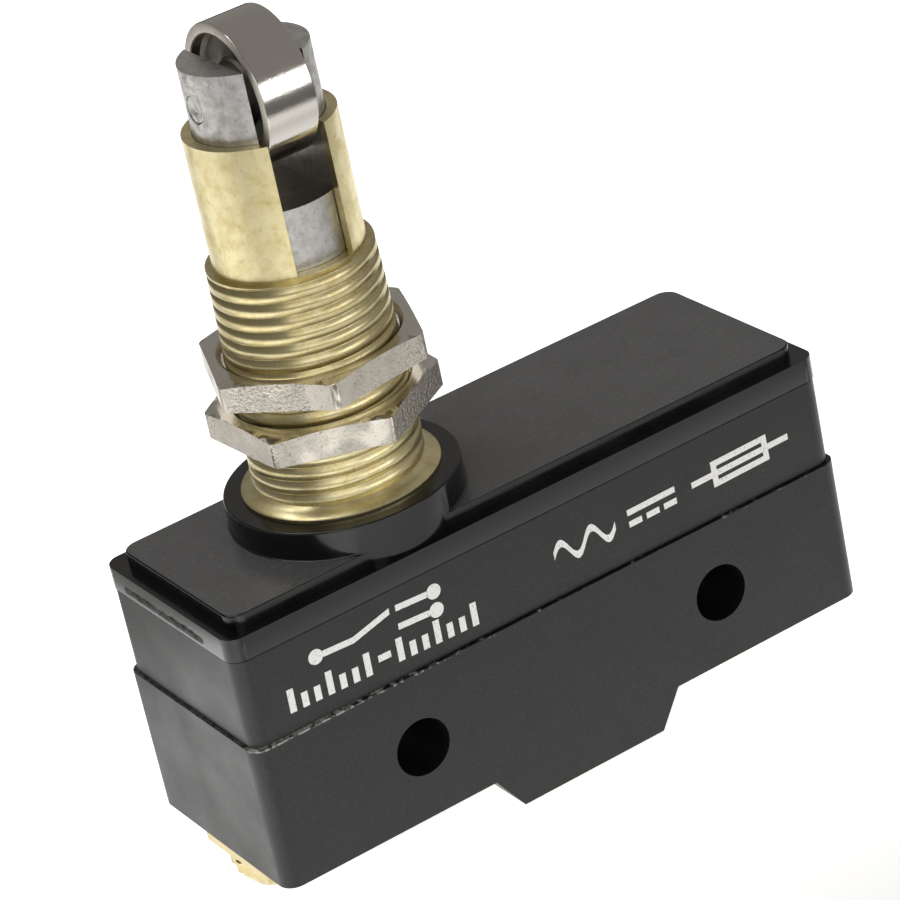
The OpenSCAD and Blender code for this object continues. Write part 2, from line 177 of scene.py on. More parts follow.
class SwitchStage(PropertyGroup):
    """Camera, floor and lights."""

    lens: FloatProperty(name="Lens", description="Focal length", default=154.73, min=20, unit="CAMERA")
    camera_place: FloatVectorProperty(
        name="Camera", description="Where the camera stands", size=3, subtype="TRANSLATION", unit="LENGTH",
        default=(-0.11242, -0.20948, 0.13453),
    )
    azimuth: FloatProperty(
        name="Azimuth", description="Turn of the view about the upright", default=radians(-27.95),
        subtype="ANGLE",
    )
    elevation: FloatProperty(
        name="Elevation", description="Height angle of the view", default=radians(26.77), subtype="ANGLE",
    )
    roll: FloatProperty(name="Roll", description="Tilt of the camera", default=radians(12.31), subtype="ANGLE")
    key_power: FloatProperty(name="Key light", description="Power of the overhead softbox", default=2.2, min=0)
    front_power: FloatProperty(
        name="Front light", description="Power of the low front softbox", default=1.1, min=0)
    left_power: FloatProperty(
        name="Left light", description="Power of the low left softbox", default=0.9, min=0)


def settings():
    """The three groups of settings: sizes, colours and stage."""
    scene = bpy.context.scene
    return scene.switch_sizes, scene.switch_colours, scene.switch_stage


# ---------------------------------------------------------------- materials


def add(tree, kind, inputs=None, **options):
    """Adds a node with its options, its constants and its links; an input that is a socket is linked."""
    node = tree.nodes.new(kind)
    for name, value in options.items():
        setattr(node, name, value)
    for name, value in (inputs or {}).items():
        if isinstance(value, bpy.types.NodeSocket):
            tree.links.new(value, node.inputs[name])
        else:
            node.inputs[name].default_value = value
    return node


def rgba(colour_value, scale=1.0):
    """A linear colour with its alpha, made darker by scale."""
    return (*[c * scale for c in colour_value], 1.0)


def start_material(name, **surface):
    """A material with a Principled surface set to constants, and its object coordinates in millimetres."""
    material = bpy.data.materials.new(name)
    material.use_nodes = True
    tree = material.node_tree
    tree.nodes.clear()
    shader = add(tree, "ShaderNodeBsdfPrincipled", surface)
    add(tree, "ShaderNodeOutputMaterial", {"Surface": shader.outputs["BSDF"]})
    place = add(tree, "ShaderNodeTexCoord").outputs["Object"]
    millimetres = add(tree, "ShaderNodeMapping", {"Vector": place, "Scale": (1 / MM,) * 3}).outputs["Vector"]
    return material, tree, shader, millimetres


def moulded_phenolic(name, body, pale, rough, grain_mm, grain_depth_mm, scuffs_and_highlight=False):
    """Compression moulded phenolic: near black, a fine grain that breaks the gloss, faint paler clouds."""
    material, tree, shader, place = start_material(name, **{"IOR": 1.5})
    clouds = add(tree, "ShaderNodeTexNoise", {"Vector": place, "Scale": 1 / 3.2, "Detail": 4.0})
    filler = add(tree, "ShaderNodeTexNoise", {"Vector": place, "Scale": 1 / grain_mm, "Detail": 3.0})
    specks = add(tree, "ShaderNodeMapRange", {
        "Value": filler.outputs["Fac"], "From Min": 0.52, "From Max": 0.72, "To Min": 0.0, "To Max": 0.8})
    tone = add(tree, "ShaderNodeMixRGB", {
        "Fac": clouds.outputs["Fac"], "Color1": rgba(body), "Color2": rgba(body, 0.7)})
    shade = add(tree, "ShaderNodeMixRGB", {
        "Fac": specks.outputs["Result"], "Color1": tone.outputs["Color"], "Color2": rgba(pale)})
    finish = add(tree, "ShaderNodeMapRange", {
        "Value": clouds.outputs["Fac"], "From Min": 0.3, "From Max": 0.7,
        "To Min": rough - 0.05, "To Max": rough + 0.06})
    colour_out, rough_out = shade.outputs["Color"], finish.outputs["Result"]
    if scuffs_and_highlight:
        colour_out, rough_out = joint_scuffs_and_highlight(tree, place, colour_out, rough_out)
    grain = add(tree, "ShaderNodeBump", {
        "Height": filler.outputs["Fac"], "Strength": 1.0, "Distance": grain_depth_mm * MM})
    tree.links.new(colour_out, shader.inputs["Base Color"])
    tree.links.new(rough_out, shader.inputs["Roughness"])
    tree.links.new(grain.outputs["Normal"], shader.inputs["Normal"])
    return material


def joint_scuffs_and_highlight(tree, place, colour_in, rough_in):
    """Pale scuffs where flash was scraped off along the joint between base and housing, and a painted highlight
    along the base's rounded top edge where it faces the front.
    """
    joint_z = high("base_case").z
    parts = add(tree, "ShaderNodeSeparateXYZ", {"Vector": place})
    away = add(tree, "ShaderNodeMath", {0: parts.outputs["Z"], 1: joint_z}, operation="SUBTRACT")
    near = add(tree, "ShaderNodeMath", {0: away.outputs["Value"]}, operation="ABSOLUTE")
    band = add(tree, "ShaderNodeMapRange", {
        "Value": near.outputs["Value"], "From Min": 0.06, "From Max": 0.15, "To Min": 1.0, "To Max": 0.0})
    crumbs = add(tree, "ShaderNodeTexNoise", {
        "Vector": place, "Scale": 1 / 0.4, "Detail": 5.0, "Roughness": 0.7})
    stretch = add(tree, "ShaderNodeMapRange", {
        "Value": parts.outputs["X"], "From Min": -20.0, "From Max": -6.0, "To Min": 0.07, "To Max": -0.1})
    worst = add(tree, "ShaderNodeMath", {
        0: crumbs.outputs["Fac"], 1: stretch.outputs["Result"]}, operation="ADD")
    torn = add(tree, "ShaderNodeMapRange", {
        "Value": worst.outputs["Value"], "From Min": 0.5, "From Max": 0.6, "To Min": 0.0, "To Max": 0.85})
    amount = add(tree, "ShaderNodeMath", {
        0: band.outputs["Result"], 1: torn.outputs["Result"]}, operation="MULTIPLY")
    # Painted highlight: the pale band is kept mostly to the front face, where the base's rounded top edge
    # catches the light.
    front = add(tree, "ShaderNodeMapRange", {
        "Value": parts.outputs["Y"], "From Min": -8.3, "From Max": -7.2, "To Min": 1.0, "To Max": 0.15})
    amount = add(tree, "ShaderNodeMath", {
        0: amount.outputs["Value"], 1: front.outputs["Result"]}, operation="MULTIPLY")
    # One pale colour for the scuffs and the painted highlight.
    shade = add(tree, "ShaderNodeMixRGB", {
        "Fac": amount.outputs["Value"], "Color1": colour_in, "Color2": rgba(linear("#B4B1AC"))})
    dull = add(tree, "ShaderNodeMath", {
        0: rough_in, 1: amount.outputs["Value"]}, operation="ADD", use_clamp=True)
    return shade.outputs["Color"], dull.outputs["Value"]


def worked_metal(name, body, dark, rough, line_axis=None, line_mm=0.12, line_depth_mm=0.003,
                 cloud_mm=1.6, speck_mm=0.22, speck=0.3, dark_share=0.5, grain_mm=0.0, grain_depth_mm=0.0,
                 rough_spread=0.1, patches_mm=0.0, groove=None):
    """A metal surface: tarnish clouds, small dark specks, tool lines along one axis and a grain."""
    material, tree, shader, place = start_material(name, **{"Metallic": 1.0})
    clouds = add(tree, "ShaderNodeTexNoise", {
        "Vector": place, "Scale": 1 / cloud_mm, "Detail": 5.0, "Roughness": 0.6})
    stained = add(tree, "ShaderNodeMapRange", {
        "Value": clouds.outputs["Fac"], "From Min": 0.42, "From Max": 0.72,
        "To Min": 0.0, "To Max": dark_share})
    dots = add(tree, "ShaderNodeTexNoise", {"Vector": place, "Scale": 1 / speck_mm, "Detail": 2.0})
    pits = add(tree, "ShaderNodeMapRange", {
        "Value": dots.outputs["Fac"], "From Min": 0.6, "From Max": 0.74, "To Min": 0.0, "To Max": speck})
    tone = add(tree, "ShaderNodeMixRGB", {
        "Fac": stained.outputs["Result"], "Color1": rgba(body), "Color2": rgba(dark)})
    shade = add(tree, "ShaderNodeMixRGB", {
        "Fac": pits.outputs["Result"], "Color1": tone.outputs["Color"], "Color2": rgba(dark, 0.35)})
    colour_out = shade.outputs["Color"]
    if groove:
        # Painted shade in the grooves of a thread.
        colour_out = painted_groove_shade(tree, place, colour_out, rgba(dark, 0.45), *groove)
    finish = add(tree, "ShaderNodeMapRange", {
        "Value": clouds.outputs["Fac"], "From Min": 0.3, "From Max": 0.7,
        "To Min": rough, "To Max": rough + rough_spread})
    normal = None
    if grain_mm:
        grains = add(tree, "ShaderNodeTexNoise", {
            "Vector": place, "Scale": 1 / grain_mm, "Detail": 3.0, "Roughness": 0.6})
        bump = {"Height": grains.outputs["Fac"], "Strength": 1.0, "Distance": grain_depth_mm * MM}
        if patches_mm:
            spread = add(tree, "ShaderNodeTexNoise", {"Vector": place, "Scale": 1 / patches_mm, "Detail": 2.0})
            bump["Strength"] = add(tree, "ShaderNodeMapRange", {
                "Value": spread.outputs["Fac"], "From Min": 0.4, "From Max": 0.5,
                "To Min": 0.1, "To Max": 1.0}).outputs["Result"]
        normal = add(tree, "ShaderNodeBump", bump).outputs["Normal"]
    if line_axis:
        stretch = [1 / 14.0] * 3
        stretch["XYZ".index(line_axis)] = 1 / line_mm
        along = add(tree, "ShaderNodeMapping", {"Vector": place, "Scale": stretch})
        lines = add(tree, "ShaderNodeTexNoise", {
            "Vector": along.outputs["Vector"], "Scale": 1.0, "Detail": 2.0})
        bump = {"Height": lines.outputs["Fac"], "Strength": 1.0, "Distance": line_depth_mm * MM}
        if normal:
            bump["Normal"] = normal
        normal = add(tree, "ShaderNodeBump", bump).outputs["Normal"]
    tree.links.new(colour_out, shader.inputs["Base Color"])
    tree.links.new(finish.outputs["Result"], shader.inputs["Roughness"])
    if normal:
        tree.links.new(normal, shader.inputs["Normal"])
    return material


def painted_groove_shade(tree, place, colour_in, groove_shade_colour, root_r, crest_r):
    """Painted shade that darkens a thread's grooves, by the distance from the sleeve's axis."""
    centred = add(tree, "ShaderNodeMapping", {
        "Vector": place, "Location": (-AXIS.x, 0, 0), "Scale": (1, 1, 0)})
    away = add(tree, "ShaderNodeVectorMath", {0: centred.outputs["Vector"]}, operation="LENGTH")
    blotch = add(tree, "ShaderNodeTexNoise", {"Vector": place, "Scale": 1 / 0.9, "Detail": 4.0})
    ragged = add(tree, "ShaderNodeMath", {0: blotch.outputs["Fac"], 1: 0.34}, operation="MULTIPLY")
    depth = add(tree, "ShaderNodeMath", {
        0: away.outputs["Value"], 1: ragged.outputs["Value"]}, operation="ADD")
    amount = add(tree, "ShaderNodeMapRange", {
        "Value": depth.outputs["Value"], "From Min": root_r + 0.17, "From Max": crest_r + 0.12,
        "To Min": 0.28, "To Max": 0.0})
    shade = add(tree, "ShaderNodeMixRGB", {
        "Fac": amount.outputs["Result"], "Color1": colour_in, "Color2": groove_shade_colour})
    return shade.outputs["Color"]


def printed_ink(name, body):
    """Pad printed white ink: thin, matt, with pinholes where it missed the grain of the moulding."""
    material, tree, shader, place = start_material(name, **{"IOR": 1.5, "Roughness": 0.6})
    holes = add(tree, "ShaderNodeTexNoise", {"Vector": place, "Scale": 1 / 0.14, "Detail": 3.0})
    missed = add(tree, "ShaderNodeMapRange", {
        "Value": holes.outputs["Fac"], "From Min": 0.58, "From Max": 0.72, "To Min": 0.0, "To Max": 0.55})
    shade = add(tree, "ShaderNodeMixRGB", {
        "Fac": missed.outputs["Result"], "Color1": rgba(body), "Color2": rgba(linear("#6A6968"))})
    tree.links.new(shade.outputs["Color"], shader.inputs["Base Color"])
    return material


def make_materials():
    """All the finishes, by the key that the pieces ask for."""
    c = settings()[1]
    return {
        # Compression moulded, wood filled phenolic: matt charcoal with a fine grain, pale scuffs and a painted
        # highlight along the joint at the front
        "case": moulded_phenolic("phenolic_moulded_matt", c.case, c.case_pale, 0.4, 0.2, 0.006, scuffs_and_highlight=True),
        # The same resin from a polished mould: near black gloss
        "cap": moulded_phenolic("phenolic_moulded_gloss", c.cap, c.case, 0.18, 0.3, 0.0015),
        # The cap's top panel: dark satin grey, a paler copy of the resin as painted light for the overhead
        # light its top face catches
        "panel": moulded_phenolic("phenolic_satin_painted_light", c.panel, c.panel_pale, 0.27, 0.25, 0.003),
        # The same resin torn off at the gate: brown filler in a rough break
        "gate": moulded_phenolic("phenolic_torn_gate", c.case_pale, c.gate, 0.55, 0.2, 0.02),
        # Coloured phenolic, moulded: dull red
        "pin": moulded_phenolic("phenolic_moulded_red", c.pin, c.pin, 0.4, 0.2, 0.003),
        # Free cutting brass, turned and dipped: pale yellow, soft clouds, faint rings, small dark specks
        "brass": worked_metal(
            "brass_turned_dipped", c.brass, c.brass_dark, 0.3, "Z", 0.2, 0.002, 1.3, 0.3, 0.22, 0.6,
            grain_mm=0.35, grain_depth_mm=0.004),
        # The same brass where the die cut its thread: bright crests, painted shade in the grooves
        "thread": worked_metal(
            "brass_die_cut_thread", c.brass, c.brass_dark, 0.3, "Z", 0.11, 0.006, 0.9, 0.25, 0.35, 0.6,
            grain_mm=0.3, grain_depth_mm=0.006, groove=(5.76, 6.0)),
        # Sheet brass, stamped: warmer, smooth with sparse scratches
        "strip": worked_metal(
            "brass_sheet_stamped", c.strip, c.brass_dark, 0.24, "Y", 0.2, 0.0015, 2.5, 0.3, 0.25),
        # Mild steel, nickel plated: smooth faces with a warm white mirror
        "nickel": worked_metal(
            "nickel_plated_face", c.nickel, c.sinter, 0.14, None, cloud_mm=2.2, speck_mm=0.3, speck=0.1,
            dark_share=0.25, grain_mm=0.7, grain_depth_mm=0.004),
        # The same plating over cold drawn hexagon flats: satin, with torn patches that glitter, darker as
        # painted shade on the sides
        "nickel_side_shaded": worked_metal(
            "nickel_plated_drawn_side_shaded", c.nickel_drawn_shaded, c.sinter_dark, 0.26, None, cloud_mm=1.0, speck_mm=0.2,
            speck=0.5, dark_share=0.3, grain_mm=0.24, grain_depth_mm=0.12, patches_mm=4.0),
        # Sintered iron, oiled: mottled grey with dark pores
        "sinter": worked_metal(
            "steel_sintered_oiled", c.sinter, c.sinter_dark, 0.32, None, cloud_mm=0.7, speck_mm=0.24, speck=0.4,
            dark_share=0.5, grain_mm=0.3, grain_depth_mm=0.014, rough_spread=0.2),
        # Bearing steel, ground and polished: mirror with faint rings around its axle and a fine ripple
        "roller": worked_metal(
            "steel_ground_polished", c.roller, c.sinter, 0.09, "X", 0.12, 0.0008, 1.2, 0.2, 0.12, 0.2,
            grain_mm=0.22, grain_depth_mm=0.0045, rough_spread=0.06),
        # The same steel inside the roller, turned: dark, soft shine, as painted shade in the roller's recess
        # and on the fork floor under the roller
        "painted_recess_shade": worked_metal(
            "steel_turned_painted_recess_shade", c.recess_shade_steel, c.sinter_dark, 0.34, None, cloud_mm=0.9, speck_mm=0.2, speck=0.4,
            dark_share=0.8, grain_mm=0.3, grain_depth_mm=0.008, rough_spread=0.15),
        # The same steel on the roller's faced ends: pale and satin
        "roller_side": worked_metal(
            "steel_faced_satin", c.nickel, c.roller, 0.42, None, cloud_mm=0.5, speck_mm=0.2, speck=0.25,
            dark_share=0.4, grain_mm=0.3, grain_depth_mm=0.01),
        # Drawn spring wire: dull grey steel
        "spring": worked_metal("steel_spring_wire_drawn", c.spring, c.sinter_dark, 0.28, None, cloud_mm=0.6),
        # Rolled beryllium copper: warm mirror with rolling lines
        "copper": worked_metal("copper_beryllium_rolled", c.copper, c.brass_dark, 0.18, "Y", 0.1, 0.001),
        # Silver alloy, headed: soft white metal
        "silver": worked_metal("silver_alloy_headed", c.silver, c.sinter, 0.22, None, cloud_mm=0.5),
        # White pad print
        "ink": printed_ink("ink_pad_printed_white", c.ink),
    }


finishes = {}


# ---------------------------------------------------------------- mesh tools


def from_cad(bm, node):
    """Adds a merged copy of a CAD node's mesh, in millimetres, with its flat faces joined."""
    bm.from_mesh(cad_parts[node].data)
    bmesh.ops.scale(bm, vec=(1 / MM,) * 3, verts=bm.verts)
    bmesh.ops.remove_doubles(bm, verts=bm.verts, dist=0.0005)
    bmesh.ops.dissolve_limit(bm, angle_limit=radians(0.4), verts=bm.verts, edges=bm.edges)
    return bm


def sharp(edge, degrees=28):
    """Whether an edge bends by more than some degrees."""
    return edge.is_manifold and edge.calc_face_angle(0) > radians(degrees)


def round_edges(bm, radius, chosen, segments=3):
    """Rounds the sharp edges for whose middle point chosen(point) is true."""
    edges = [e for e in bm.edges if sharp(e) and chosen((e.verts[0].co + e.verts[1].co) / 2)]
    bmesh.ops.bevel(
        bm, geom=edges, offset=radius, offset_type="OFFSET", affect="EDGES", segments=segments,
        profile=0.5, material=-1, clamp_overlap=True,
    )


def lathe(bm, profile, steps=96):
    """Turns a closed profile of (radius, height) pairs about Z and returns the new vertices."""
    old = set(bm.verts)
    ring = [bm.verts.new((r, 0, z)) for r, z in profile]
    edges = [bm.edges.new((a, b)) for a, b in zip(ring, ring[1:] + ring[:1])]
    bmesh.ops.spin(
        bm, geom=ring + edges, cent=(0, 0, 0), axis=(0, 0, 1), angle=2 * pi, steps=steps, use_merge=True)
    new = [v for v in bm.verts if v not in old]
    bmesh.ops.remove_doubles(bm, verts=new, dist=1e-4)
    new = [v for v in bm.verts if v not in old]
    outward(bm, new)
    return new


def cut_joint(bm, node, gap, depth):
    """Sets back the lowest strip of a moulding's sides, which leaves a thin dark gap at its joint."""
    a, b = low(node), high(node)
    for height in (gap, gap + 0.02):
        bmesh.ops.bisect_plane(
            bm, geom=[*bm.verts, *bm.edges, *bm.faces], dist=1e-5, plane_co=(0, 0, a.z + height),
            plane_no=(0, 0, 1))
    for v in bm.verts:
        p = v.co
        if p.z < a.z + gap + 0.01 and min(p.x - a.x, b.x - p.x, p.y - a.y, b.y - p.y) < depth:
            p.x = min(max(p.x, a.x + depth), b.x - depth)
            p.y = min(max(p.y, a.y + depth), b.y - depth)


def outward(bm, verts):
    """Points the faces of one closed shell outwards."""
    chosen = set(verts)
    bmesh.ops.recalc_face_normals(bm, faces=[f for f in bm.faces if f.verts[0] in chosen])


def move(bm, verts, matrix):
    """Moves vertices by a matrix."""
    bmesh.ops.transform(bm, matrix=matrix, verts=verts, space=Matrix.Identity(4))


def threaded_rod(bm, crest_r, depth, pitch, flat, z0, z1, bore=(), steps=72):
    """A closed threaded shell about Z between two heights; bore lists (radius, height) pairs upwards."""
    old = set(bm.verts)
    root_r = crest_r - depth
    flank = (1 - flat) * 0.36 * pitch
    crest = flat * pitch
    profile = [
        (root_r, 0), (crest_r, flank), (crest_r, flank + crest), (root_r, 2 * flank + crest), (root_r, pitch)]
    ring = [bm.verts.new((r, 0, z0 - 2 * pitch + z)) for r, z in profile]
    edges = [bm.edges.new(pair) for pair in zip(ring, ring[1:])]
    turns = int((z1 - z0) / pitch) + 4
    bmesh.ops.spin(
        bm, geom=ring + edges, cent=(0, 0, 0), axis=(0, 0, 1), dvec=(0, 0, pitch / steps),
        angle=2 * pi * turns, steps=steps * turns, use_merge=False)
    new = [v for v in bm.verts if v not in old]
    bmesh.ops.remove_doubles(bm, verts=new, dist=1e-4)
    for height, keep_above in ((z0, True), (z1, False)):
        new = [v for v in bm.verts if v not in old]
        faces = {f for v in new for f in v.link_faces}
        lines = {e for v in new for e in v.link_edges}
        bmesh.ops.bisect_plane(
            bm, geom=[*new, *lines, *faces], dist=1e-6, plane_co=(0, 0, height), plane_no=(0, 0, 1),
            clear_inner=keep_above, clear_outer=not keep_above)
    ends = []
    for height in (z0, z1):
        ends.append([e for e in bm.edges if e.is_boundary and all(
            v not in old and abs(v.co.z - height) < 1e-4 for v in e.verts)])
    if bore:
        ring = [bm.verts.new((r, 0, z)) for r, z in bore]
        edges = [bm.edges.new(pair) for pair in zip(ring, ring[1:])]
        before = set(bm.edges) - set(edges)
        bmesh.ops.spin(
            bm, geom=ring + edges, cent=(0, 0, 0), axis=(0, 0, 1), angle=2 * pi, steps=steps, use_merge=True)
        inner = [e for e in bm.edges if e not in before and e.is_boundary]
        for height, loop in ((z0, ends[0]), (z1, ends[1])):
            match = [e for e in inner if abs(e.verts[0].co.z - height) < 1e-4]
            bmesh.ops.triangle_fill(bm, edges=loop + match, use_beauty=True, use_dissolve=False)
    else:
        for loop in ends:
            bmesh.ops.triangle_fill(bm, edges=loop, use_beauty=True, use_dissolve=False)
    new = [v for v in bm.verts if v not in old]
    outward(bm, new)
    return new


def wind_spring(bm, mean_r, wire_r, z0, z1, turns, facets, steps=40):
    """A compression spring about Z whose first and last turns lie flat on its neighbours."""
    section = bmesh.ops.create_circle(bm, cap_ends=False, segments=facets, radius=wire_r)["verts"]
    move(bm, section, Matrix.Translation((mean_r, 0, z0 + wire_r)) @ Matrix.Rotation(pi / 2, 4, "X"))
    closed = 2.05 * wire_r
    open_turns = turns - 2
    open_pitch = (z1 - z0 - 2 * wire_r - 2 * closed) / open_turns
    geom = list(section) + list({e for v in section for e in v.link_edges})
    for pitch, count in ((closed, 1), (open_pitch, open_turns), (closed, 1)):
        number = round(steps * count)
        result = bmesh.ops.spin(
            bm, geom=geom, cent=(0, 0, 0), axis=(0, 0, 1), dvec=(0, 0, pitch * count / number),
            angle=2 * pi * count, steps=number, use_merge=False)
        geom = [g for g in result["geom_last"] if not isinstance(g, bmesh.types.BMFace)]
    bmesh.ops.holes_fill(bm, edges=[e for e in bm.edges if e.is_boundary], sides=0)
    outward(bm, bm.verts)


def finish(bm, name, body, slot, keys, nodes=(), smooth=32, weighted=True):
    """Turns a bmesh in millimetres into a finished piece that rides on a body and stands for CAD nodes."""
    bmesh.ops.scale(bm, vec=(MM,) * 3, verts=bm.verts)
    mesh = bpy.data.meshes.new(name)
    bm.to_mesh(mesh)
    bm.free()
    piece = bpy.data.objects.new(name, mesh)
    bpy.context.scene.collection.objects.link(piece)
    mesh.shade_smooth()
    mesh.set_sharp_from_angle(angle=radians(smooth))
    for key in keys:
        mesh.materials.append(finishes[key])
    if weighted:
        normals = piece.modifiers.new("even_shading", "WEIGHTED_NORMAL")
        normals.keep_sharp = True
    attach(piece, body)
    if nodes:
        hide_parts(*nodes)
    return piece


# ---------------------------------------------------------------- the case


def off_axis(p):
    """Distance of a point from the sleeve's axis."""
    return sqrt((p.x - AXIS.x) ** 2 + p.y ** 2)


def on_side(p, a, b):
    """Whether a point is on the upright sides of the box from a to b."""
    return min(p.x - a.x, b.x - p.x, p.y - a.y, b.y - p.y) < 0.02


def on_skin(p, a, b):
    """Whether a point is on the outside of a moulding whose box is a to b."""
    return on_side(p, a, b) or p.z < a.z + 2.9 and b.z > 5.4 and a.z < 0 or p.z - a.z < 0.02


class SWITCH_OT_case(Operator):
    """Moulded base, middle housing and cap with their edges rounded."""

    bl_idname = "switch.case"
    bl_label = "Case"

    def execute(self, context):
        sizes = settings()[0]
        edge = sizes.case_round / MM
        gap, depth = sizes.joint_gap / MM, sizes.joint_depth / MM
        for node in ("base_case", "middle_housing"):
            bm = from_cad(bmesh.new(), node)
            a, b = low(node), high(node)
            jointed = node == "middle_housing"
            round_edges(bm, edge, lambda p: on_skin(p, a, b) and not (jointed and p.z < a.z + 0.1))
            if jointed:
                cut_joint(bm, node, gap, depth)
            finish(bm, node + "_moulding", "case", "base_plastic", ["case"], [node])
        bm = from_cad(bmesh.new(), "top_cap")
        a, b = low("top_cap"), high("top_cap")
        rim_top, cap_top = 13.9, 14.9
        round_edges(bm, sizes.flange_round / MM, lambda p: p.z > b.z - 0.01 and off_axis(p) > 7.5)
        round_edges(bm, sizes.cap_round / MM, lambda p: abs(p.z - cap_top) < 0.01, 5)
        round_edges(
            bm, sizes.rim_round / MM, lambda p: abs(p.z - rim_top) < 0.01 and on_side(p, a, b), 5)
        cut_joint(bm, "top_cap", gap, depth)
        # The flat top face of the panel takes the paler resin, painted light for the overhead light it catches.
        for face in bm.faces:
            level = abs(face.calc_center_median().z - cap_top) < 0.01
            face.material_index = int(face.normal.z > 0.99 and level)
        finish(bm, "top_cap_moulding", "case", "cap_plastic", ["cap", "panel"], ["top_cap"])
        self.gate(a)
        return {"FINISHED"}

    def gate(self, a):
        """Rough strip on the end of the cap where the moulding gate was broken off."""
        long_mm, tall_mm = 10.9, 0.7
        bm = bmesh.new()
        bmesh.ops.create_grid(bm, x_segments=12, y_segments=150, size=0.5)
        bmesh.ops.scale(bm, vec=(tall_mm, long_mm, 1), verts=bm.verts)
        for v in bm.verts:
            rim = (1 - (2 * v.co.x / tall_mm) ** 2) * (1 - (2 * v.co.y / long_mm) ** 20)
            rough = noise.fractal(Vector((v.co.x * 2.2, v.co.y * 1.6, 7.3)), 0.7, 2.1, 4)
            v.co.z = -0.03 + rim * min(0.17, max(0.04, 0.11 + 0.07 * rough))
        back = bmesh.ops.extrude_face_region(bm, geom=list(bm.faces), use_keep_orig=True)["geom"]
        for v in (g for g in back if isinstance(g, bmesh.types.BMVert)):
            v.co.z = -0.3
        outward(bm, bm.verts)
        move(bm, bm.verts, Matrix.Translation((a.x, 0.6, a.z + 0.6)) @ Matrix.Rotation(-pi / 2, 4, "Y"))
        finish(bm, "gate_break", "case", "cap_plastic", ["gate"], smooth=50, weighted=False)


class SWITCH_OT_rivets(Operator):
    """Tubular rivets whose rolled heads show under the case."""

    bl_idname = "switch.rivets"
    bl_label = "Case Rivets"

    def execute(self, context):
        a, b = low("case_rivets"), high("case_rivets")
        head_r, shank_r, head_t = 1.6, 0.9, 0.7
        bm = bmesh.new()
        for x in (a.x + head_r, b.x - head_r):
            for y in (a.y + head_r, b.y - head_r):
                ring = lathe(bm, [
                    (0.5, a.z + 0.5), (0.5, a.z + 0.12), (0.62, a.z), (1.1, a.z + 0.02),
                    (head_r - 0.08, a.z + 0.3),
                    (head_r, a.z + head_t - 0.1), (head_r - 0.05, a.z + head_t), (shank_r, a.z + head_t),
                    (shank_r, b.z), (0, b.z), (0, a.z + 0.5)], 40)
                move(bm, ring, Matrix.Translation((x, y, 0)))
        finish(bm, "case_rivet_set", "case", "terminal_brass", ["strip"], ["case_rivets"])
        return {"FINISHED"}


# ---------------------------------------------------------------- sleeve and nuts


class SWITCH_OT_sleeve(Operator):
    """Brass sleeve: slotted nose, cut thread and seating collar."""

    bl_idname = "switch.sleeve"
    bl_label = "Threaded Sleeve"

    def execute(self, context):
        sizes = settings()[0]
        top = high("threaded_sleeve").z
        foot = low("threaded_sleeve").z
        thread_top, collar_top, flange_top = 33.8, 17.35, 17.0
        crest_r, bore_r, mouth_r, bore_step = 6.0, 4.9, 4.45, 27.1
        taper_from, taper, wander = 24.5, 0.27, 0.04
        bm = from_cad(bmesh.new(), "threaded_sleeve")
        cut = thread_top + 0.05
        bmesh.ops.bisect_plane(
            bm, geom=[*bm.verts, *bm.edges, *bm.faces], dist=1e-5, plane_co=(0, 0, cut), plane_no=(0, 0, 1),
            clear_inner=True)
        rim = [e for e in bm.edges if e.is_boundary]
        bmesh.ops.triangle_fill(bm, edges=rim, use_beauty=True, use_dissolve=False)
        foot_faces = [f for f in bm.faces if all(abs(v.co.z - cut) < 1e-4 for v in f.verts)]
        grown = bmesh.ops.extrude_face_region(bm, geom=foot_faces)["geom"]
        bmesh.ops.delete(bm, geom=foot_faces, context="FACES_ONLY")
        move(bm, [g for g in grown if isinstance(g, bmesh.types.BMVert)], Matrix.Translation((0, 0, -0.4)))
        outward(bm, bm.verts)
        round_edges(bm, sizes.metal_round / MM, lambda p: p.z > cut + 0.05)
        axis = Matrix.Translation((AXIS.x, 0, 0))
        old = set(bm.verts)
        tube = threaded_rod(
            bm, crest_r, sizes.thread_depth / MM, sizes.thread_pitch / MM, sizes.thread_flat,
            flange_top, thread_top,
            [(bore_r, flange_top), (bore_r, bore_step), (mouth_r, bore_step), (mouth_r, thread_top)], 96)
        for v in tube:
            r = sqrt(v.co.x ** 2 + v.co.y ** 2)
            if r > 5.3:
                entry = max(0.0, (v.co.z - taper_from) / (thread_top - taper_from))
                worn = taper * entry + wander * (1 + noise.noise(v.co * 0.45))
                v.co.x *= (r - worn) / r
                v.co.y *= (r - worn) / r
        thread_verts = set(tube)
        for face in bm.faces:
            face.material_index = int(face.verts[0] in thread_verts)
        lathe(bm, [
            (2.2, foot), (5.75, foot), (5.75, 16.6), (6.88, 16.6), (6.9, collar_top - 0.14), (6.78, collar_top),
            (6.35, collar_top + 0.12), (6.02, collar_top + 0.38), (5.8, collar_top + 0.6),
            (5.6, collar_top + 0.6), (4.92, collar_top - 0.1), (4.92, 15.0), (2.2, 15.0)])
        move(bm, [v for v in bm.verts if v not in old], axis)
        finish(bm, "sleeve_turned", "case", "sleeve_brass", ["brass", "thread"], ["threaded_sleeve"], 36)
        return {"FINISHED"}


